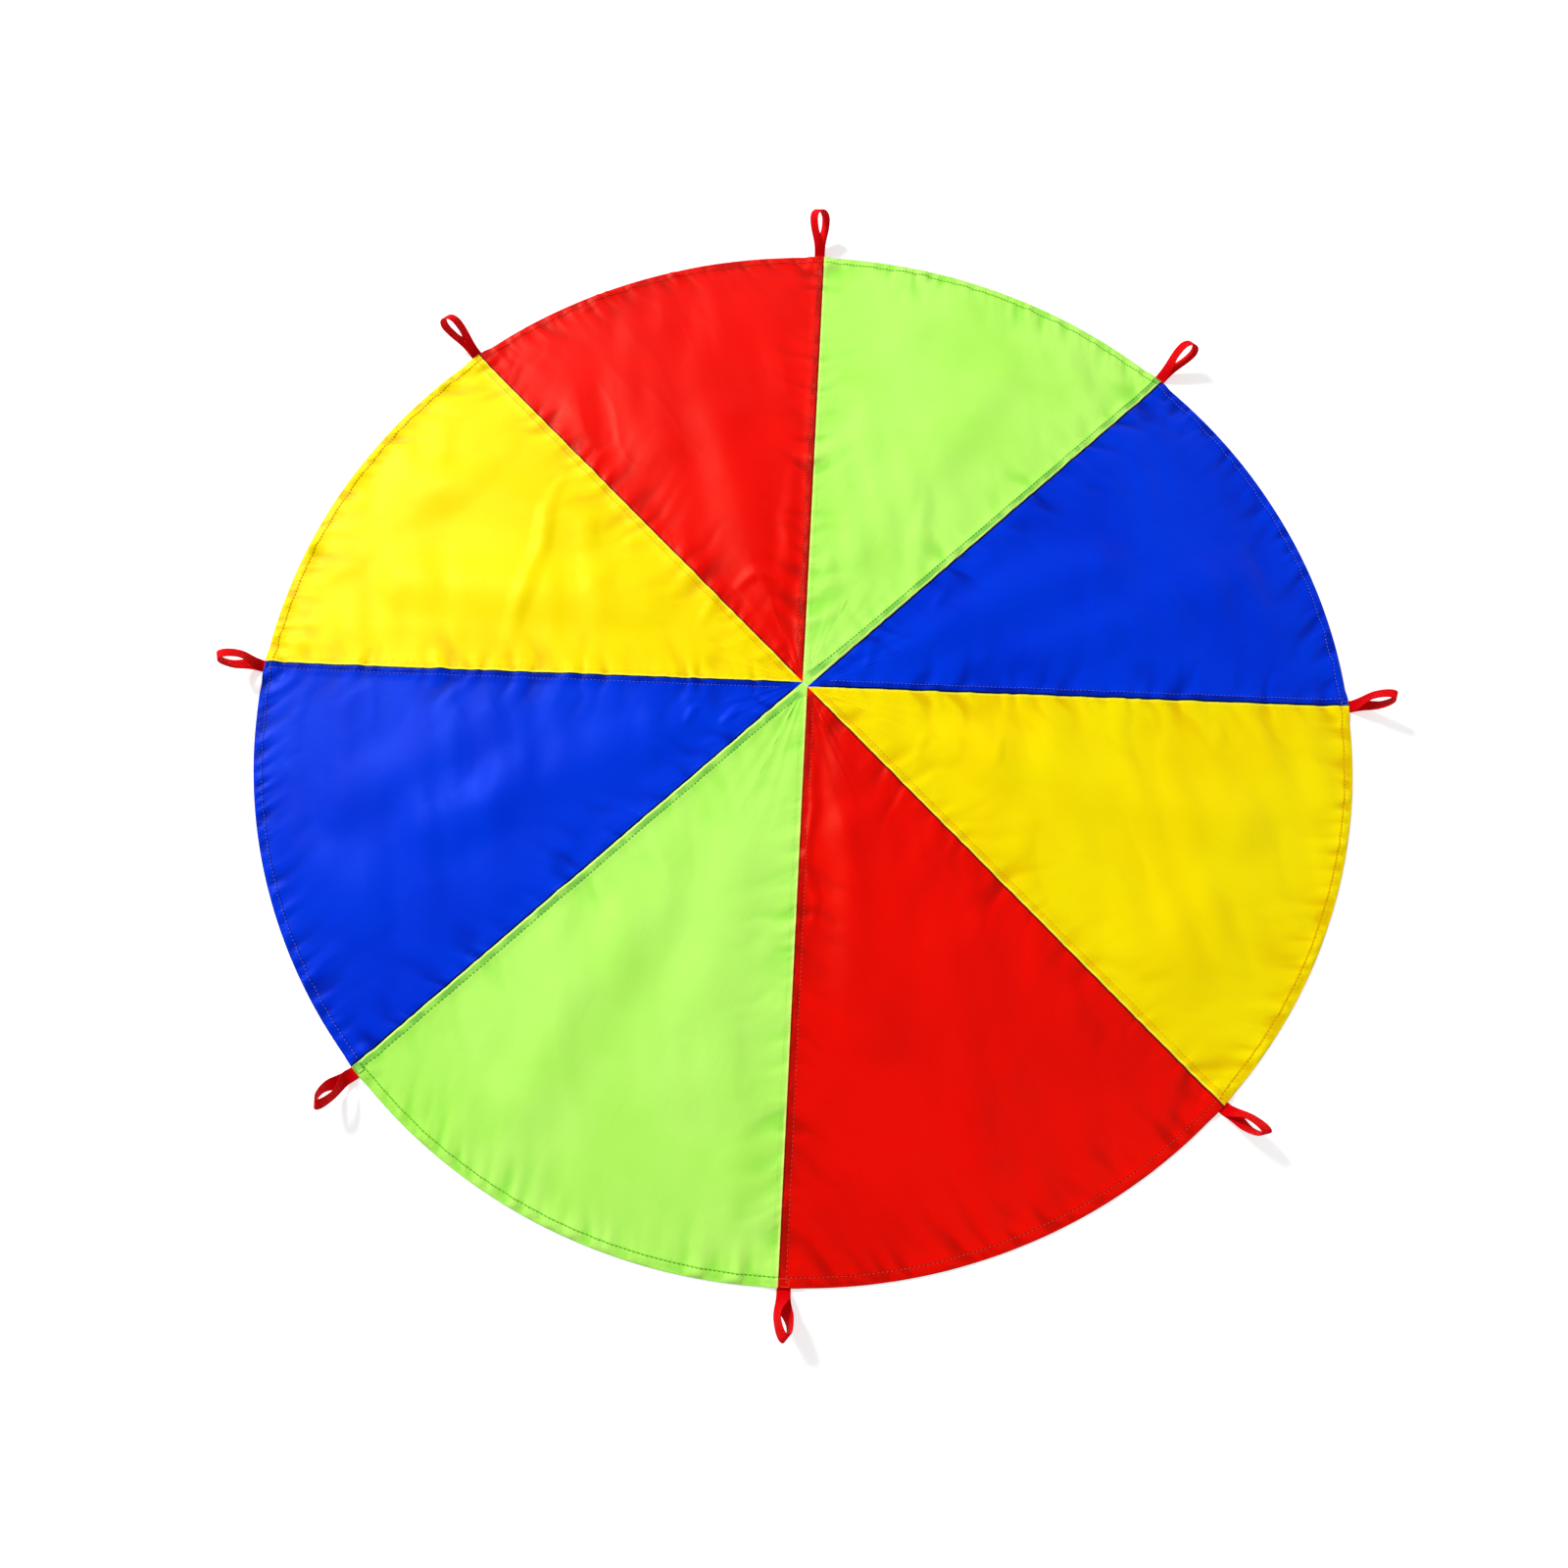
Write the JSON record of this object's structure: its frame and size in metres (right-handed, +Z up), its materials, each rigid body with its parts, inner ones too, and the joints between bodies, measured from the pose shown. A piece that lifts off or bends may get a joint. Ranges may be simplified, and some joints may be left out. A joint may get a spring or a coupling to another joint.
{
  "type": "play parachute",
  "caption": "Round play parachute of sewn cloth gores in green, blue, yellow and red, laid out flat, with a red webbing loop handle at the end of each seam.",
  "frame": {"origin": "centre of the canopy, on the floor plane it is laid out on", "axes": "+Z up out of the floor, +Y along the seam between the last red gore and the first green gore, +X to the right of it seen from above"},
  "size_m": [1.9369, 1.956, 0.0704],
  "materials": {
    "cloth_green": "satin woven polyester",
    "cloth_blue": "satin woven polyester",
    "cloth_yellow": "satin woven polyester",
    "cloth_red": "satin woven polyester",
    "webbing_red": "matt woven webbing"
  },
  "bodies": {
    "canopy": {"gore_1_green": "cloth_green", "gore_2_blue": "cloth_blue", "gore_3_yellow": "cloth_yellow", "gore_4_red": "cloth_red", "gore_5_green": "cloth_green", "gore_6_blue": "cloth_blue", "gore_7_yellow": "cloth_yellow", "gore_8_red": "cloth_red", "handle_tab_1": "webbing_red", "handle_tab_2": "webbing_red", "handle_tab_3": "webbing_red", "handle_tab_4": "webbing_red", "handle_tab_5": "webbing_red", "handle_tab_6": "webbing_red", "handle_tab_7": "webbing_red", "handle_tab_8": "webbing_red"},
    "handle_1": {"handle_loop_1": "webbing_red"},
    "handle_2": {"handle_loop_2": "webbing_red"},
    "handle_3": {"handle_loop_3": "webbing_red"},
    "handle_4": {"handle_loop_4": "webbing_red"},
    "handle_5": {"handle_loop_5": "webbing_red"},
    "handle_6": {"handle_loop_6": "webbing_red"},
    "handle_7": {"handle_loop_7": "webbing_red"},
    "handle_8": {"handle_loop_8": "webbing_red"}
  },
  "joints": [
    {"name": "handle_1_flex", "type": "hinge", "parent": "canopy", "child": "handle_1", "pos_m": [-0.009, 0.91705, 0.00135], "axis": [1, 0, 0], "range_deg": [-137, 43]},
    {"name": "handle_2_flex", "type": "hinge", "parent": "canopy", "child": "handle_2", "pos_m": [0.64421, 0.6527, 0.00135], "axis": [0.7071, -0.7071, 0], "range_deg": [-130, 50]},
    {"name": "handle_3_flex", "type": "hinge", "parent": "canopy", "child": "handle_3", "pos_m": [0.91705, 0.0004, 0.00135], "axis": [0, -1, 0], "range_deg": [-144, 36]},
    {"name": "handle_4_flex", "type": "hinge", "parent": "canopy", "child": "handle_4", "pos_m": [0.64732, -0.64958, 0.00135], "axis": [-0.7071, -0.7071, 0], "range_deg": [-142, 38]},
    {"name": "handle_5_flex", "type": "hinge", "parent": "canopy", "child": "handle_5", "pos_m": [0.0084, -0.91705, 0.00135], "axis": [-1, 0, 0], "range_deg": [-136, 44]},
    {"name": "handle_6_flex", "type": "hinge", "parent": "canopy", "child": "handle_6", "pos_m": [-0.64237, -0.65453, 0.00135], "axis": [-0.7071, 0.7071, 0], "range_deg": [-136, 44]},
    {"name": "handle_7_flex", "type": "hinge", "parent": "canopy", "child": "handle_7", "pos_m": [-0.91705, -0.008, 0.00135], "axis": [0, 1, 0], "range_deg": [-142, 38]},
    {"name": "handle_8_flex", "type": "hinge", "parent": "canopy", "child": "handle_8", "pos_m": [-0.65029, 0.64661, 0.00135], "axis": [0.7071, 0.7071, 0], "range_deg": [-132, 48]}
  ]
}
